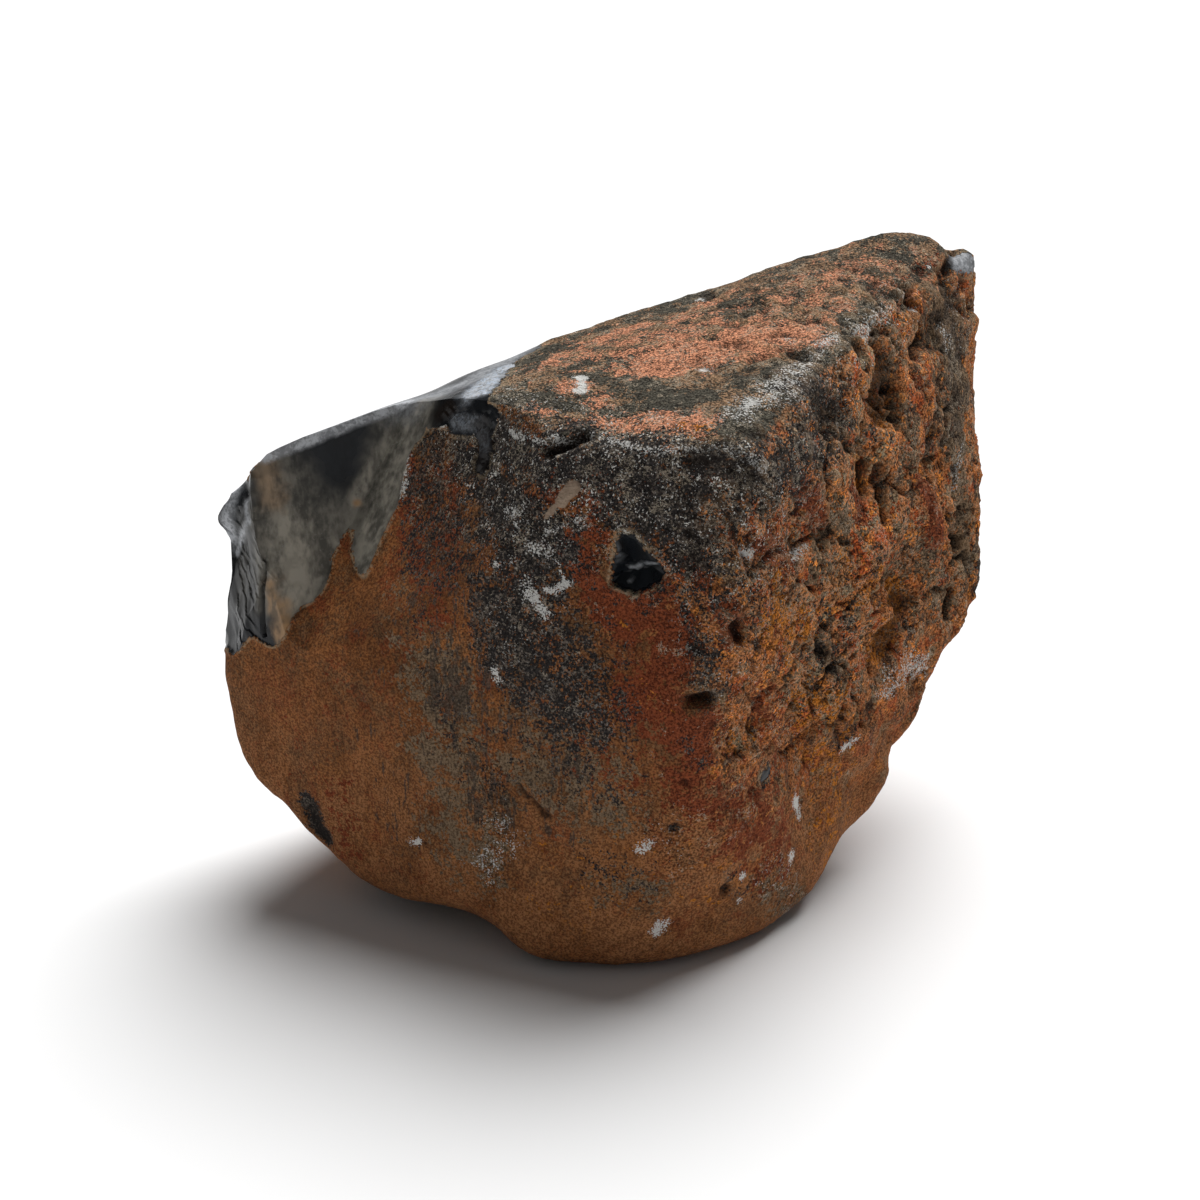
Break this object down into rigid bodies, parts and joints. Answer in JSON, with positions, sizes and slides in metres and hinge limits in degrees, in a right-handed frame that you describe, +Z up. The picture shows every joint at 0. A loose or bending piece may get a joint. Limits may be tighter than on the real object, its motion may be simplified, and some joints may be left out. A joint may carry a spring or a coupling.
{
  "type": "rough obsidian block",
  "caption": "Angular natural block of obsidian: brown pitted rind over the top, front and right side, fresh black glass breaks at the left end and along the back. Rests on a flat foot.",
  "frame": {"origin": "middle of the block's outline, at the surface that it rests on", "axes": "+Z up, +X to the block's right along its length, the weathered front faces -Y"},
  "size_m": [0.146, 0.1026, 0.113],
  "materials": {
    "weathered_obsidian": "matte pitted brown and charcoal rind, with glossy black glass where it is freshly broken"
  },
  "bodies": {
    "root": {"obsidian_block": "weathered_obsidian"}
  },
  "joints": []
}
